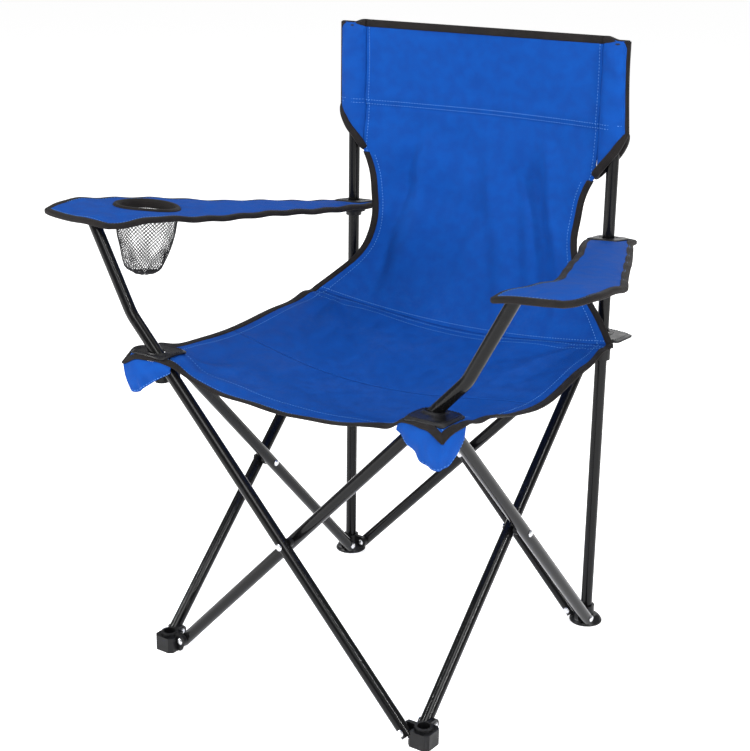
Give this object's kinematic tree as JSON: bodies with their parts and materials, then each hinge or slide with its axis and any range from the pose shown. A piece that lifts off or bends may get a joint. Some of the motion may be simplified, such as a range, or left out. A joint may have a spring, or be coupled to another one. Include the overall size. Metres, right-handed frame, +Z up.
{
  "type": "folding camp chair",
  "caption": "Folding camp chair with a crossing steel tube frame, slung cloth seat and back, padded cloth armrests and a net cup holder.",
  "frame": {"origin": "on the floor, under the middle of the bounding box", "axes": "+X to the sitter's left, +Y to the rear, +Z up"},
  "size_m": [0.7946, 0.4865, 0.815],
  "materials": {
    "black_enamel": "gloss powder coat",
    "hub_plastic": "moulded",
    "trim_plastic": "moulded",
    "rivet_steel": "bright",
    "blue_cloth": "woven",
    "patch_vinyl": "coated cloth",
    "binding_tape": "woven tape",
    "net_mesh": "knitted net"
  },
  "bodies": {
    "rear_right_leg": {"rear_right_foot": "hub_plastic", "rear_right_upright": "black_enamel", "rear_right_cap": "trim_plastic", "rear_right_foot_rivets": "rivet_steel", "back_cloth": "blue_cloth", "back_sleeve_right": "blue_cloth"},
    "rear_outer_link": {"rear_tube_outer": "black_enamel", "rear_cross_rivet": "rivet_steel", "rear_cross_washer": "trim_plastic"},
    "left_slider_hub": {"left_slider": "hub_plastic", "left_slider_rivets": "rivet_steel", "patch_rear_left": "patch_vinyl"},
    "rear_inner_link": {"rear_tube_inner": "black_enamel"},
    "right_slider_hub": {"right_slider": "hub_plastic", "right_slider_rivets": "rivet_steel", "patch_rear_right": "patch_vinyl"},
    "rear_left_leg": {"rear_left_foot": "hub_plastic", "rear_left_upright": "black_enamel", "rear_left_cap": "trim_plastic", "rear_left_foot_rivets": "rivet_steel", "back_sleeve_left": "blue_cloth"},
    "left_outer_link": {"left_tube_outer": "black_enamel", "left_cross_rivet": "rivet_steel", "left_cross_washer": "trim_plastic"},
    "left_hub": {"front_left_hub": "hub_plastic", "front_left_hub_rivets": "rivet_steel", "patch_front_left": "patch_vinyl", "pocket_left": "blue_cloth"},
    "left_inner_link": {"left_tube_inner": "black_enamel"},
    "left_front_foot": {"front_left_foot": "hub_plastic", "front_left_foot_rivets": "rivet_steel"},
    "right_inner_link": {"right_tube_inner": "black_enamel"},
    "right_hub": {"front_right_hub": "hub_plastic", "front_right_hub_rivets": "rivet_steel", "patch_front_right": "patch_vinyl", "pocket_right": "blue_cloth"},
    "right_outer_link": {"right_tube_outer": "black_enamel", "right_cross_rivet": "rivet_steel", "right_cross_washer": "trim_plastic"},
    "right_front_foot": {"front_right_foot": "hub_plastic", "front_right_foot_rivets": "rivet_steel"},
    "front_outer_link": {"front_tube_outer": "black_enamel", "front_cross_rivet": "rivet_steel", "front_cross_washer": "trim_plastic", "right_post_plug": "trim_plastic"},
    "front_inner_link": {"front_tube_inner": "black_enamel", "left_post_plug": "trim_plastic"},
    "seat_rear": {"seat_cloth_rear": "blue_cloth"},
    "seat_front": {"seat_cloth_front": "blue_cloth"},
    "right_arm_bush": {"arm_bush_right": "trim_plastic", "right_arm_stop": "hub_plastic"},
    "left_arm_bush": {"arm_bush_left": "trim_plastic", "left_arm_stop": "hub_plastic"},
    "right_arm": {"armrest_right": "blue_cloth", "cup_ring": "binding_tape", "cup_net": "net_mesh"},
    "left_arm": {"armrest_left": "blue_cloth"}
  },
  "joints": [
    {"name": "fold", "type": "hinge", "parent": "rear_right_leg", "child": "rear_outer_link", "pos_m": [-0.187, 0.2193, 0.016], "axis": [0, -1, 0], "range_deg": [0, 41.75], "deforming": ["back_cloth", "back_sleeve_right", "patch_rear_left", "patch_rear_right", "back_sleeve_left", "patch_front_left", "pocket_left", "patch_front_right", "pocket_right", "seat_cloth_rear", "seat_cloth_front", "armrest_right", "cup_ring", "cup_net", "armrest_left"]},
    {"name": "left_slider_swivel", "type": "hinge", "parent": "rear_outer_link", "child": "left_slider_hub", "pos_m": [0.187, 0.208, 0.405], "axis": [0, 1, 0], "range_deg": [0, 42.25]},
    {"name": "rear_scissor", "type": "hinge", "parent": "rear_outer_link", "child": "rear_inner_link", "pos_m": [0, 0.208, 0.2105], "axis": [0, 1, 0], "range_deg": [0, 84]},
    {"name": "right_slider_swivel", "type": "hinge", "parent": "rear_inner_link", "child": "right_slider_hub", "pos_m": [-0.187, 0.208, 0.405], "axis": [0, -1, 0], "range_deg": [0, 42.25]},
    {"name": "rear_left_foot_swivel", "type": "hinge", "parent": "rear_inner_link", "child": "rear_left_leg", "pos_m": [0.187, 0.208, 0.016], "axis": [0, -1, 0], "range_deg": [0, 42.25]},
    {"name": "left_outer_swivel", "type": "hinge", "parent": "rear_left_leg", "child": "left_outer_link", "pos_m": [0.208, 0.187, 0.016], "axis": [-1, 0, 0], "range_deg": [0, 42.25]},
    {"name": "left_hub_swivel", "type": "hinge", "parent": "left_outer_link", "child": "left_hub", "pos_m": [0.208, -0.187, 0.405], "axis": [1, 0, 0], "range_deg": [0, 42.25]},
    {"name": "left_scissor", "type": "hinge", "parent": "left_outer_link", "child": "left_inner_link", "pos_m": [0.208, 0, 0.2105], "axis": [1, 0, 0], "range_deg": [0, 84]},
    {"name": "left_front_foot_swivel", "type": "hinge", "parent": "left_inner_link", "child": "left_front_foot", "pos_m": [0.208, -0.187, 0.016], "axis": [-1, 0, 0], "range_deg": [0, 42.25]},
    {"name": "right_inner_swivel", "type": "hinge", "parent": "rear_right_leg", "child": "right_inner_link", "pos_m": [-0.208, 0.187, 0.016], "axis": [-1, 0, 0], "range_deg": [0, 42.25]},
    {"name": "right_hub_swivel", "type": "hinge", "parent": "right_inner_link", "child": "right_hub", "pos_m": [-0.208, -0.187, 0.405], "axis": [1, 0, 0], "range_deg": [0, 42.25]},
    {"name": "right_scissor", "type": "hinge", "parent": "right_inner_link", "child": "right_outer_link", "pos_m": [-0.208, 0, 0.2105], "axis": [1, 0, 0], "range_deg": [0, 84]},
    {"name": "right_front_foot_swivel", "type": "hinge", "parent": "right_outer_link", "child": "right_front_foot", "pos_m": [-0.208, -0.187, 0.016], "axis": [-1, 0, 0], "range_deg": [0, 42.25]},
    {"name": "front_outer_swivel", "type": "hinge", "parent": "left_front_foot", "child": "front_outer_link", "pos_m": [0.187, -0.208, 0.016], "axis": [0, 1, 0], "range_deg": [0, 42.25]},
    {"name": "front_inner_swivel", "type": "hinge", "parent": "right_front_foot", "child": "front_inner_link", "pos_m": [-0.187, -0.208, 0.016], "axis": [0, -1, 0], "range_deg": [0, 42.25]},
    {"name": "seat_rear_fold", "type": "hinge", "parent": "right_slider_hub", "child": "seat_rear", "pos_m": [0, 0.172, 0.407], "axis": [1, 0, 0], "range_deg": [0, 80.5]},
    {"name": "seat_front_fold", "type": "hinge", "parent": "right_hub", "child": "seat_front", "pos_m": [0, -0.19, 0.399], "axis": [-1, 0, 0], "range_deg": [0, 80.5]},
    {"name": "right_arm_slide", "type": "slide", "parent": "rear_right_leg", "child": "right_arm_bush", "axis": [0, 0, 1], "range_m": [0, 0.1887]},
    {"name": "left_arm_slide", "type": "slide", "parent": "rear_left_leg", "child": "left_arm_bush", "axis": [0, 0, 1], "range_m": [0, 0.1887]},
    {"name": "right_arm_swing", "type": "hinge", "parent": "right_arm_bush", "child": "right_arm", "pos_m": [-0.208, 0.208, 0.55], "axis": [0, 0, 1], "range_deg": [0, 45.62]},
    {"name": "left_arm_swing", "type": "hinge", "parent": "left_arm_bush", "child": "left_arm", "pos_m": [0.208, 0.208, 0.55], "axis": [0, 0, -1], "range_deg": [0, 56.43]}
  ],
  "couplings": [
    {"joint": "left_slider_swivel", "follows": "fold", "ratio": 1},
    {"joint": "rear_scissor", "follows": "fold", "ratio": 2},
    {"joint": "right_slider_swivel", "follows": "fold", "ratio": 1},
    {"joint": "rear_left_foot_swivel", "follows": "fold", "ratio": 1},
    {"joint": "left_outer_swivel", "follows": "fold", "ratio": 1},
    {"joint": "left_hub_swivel", "follows": "fold", "ratio": 1},
    {"joint": "left_scissor", "follows": "fold", "ratio": 2},
    {"joint": "left_front_foot_swivel", "follows": "fold", "ratio": 1},
    {"joint": "right_inner_swivel", "follows": "fold", "ratio": 1},
    {"joint": "right_hub_swivel", "follows": "fold", "ratio": 1},
    {"joint": "right_scissor", "follows": "fold", "ratio": 2},
    {"joint": "right_front_foot_swivel", "follows": "fold", "ratio": 1},
    {"joint": "front_outer_swivel", "follows": "fold", "ratio": 1},
    {"joint": "front_inner_swivel", "follows": "fold", "ratio": 1},
    {"joint": "seat_rear_fold", "follows": "fold", "ratio": 1.9162},
    {"joint": "seat_front_fold", "follows": "fold", "ratio": 1.9162},
    {"joint": "right_arm_slide", "follows": "fold", "m_per_rad": 0.25616},
    {"joint": "left_arm_slide", "follows": "fold", "m_per_rad": 0.25616},
    {"joint": "right_arm_swing", "follows": "fold", "ratio": 1.0808},
    {"joint": "left_arm_swing", "follows": "fold", "ratio": 1.3396}
  ]
}
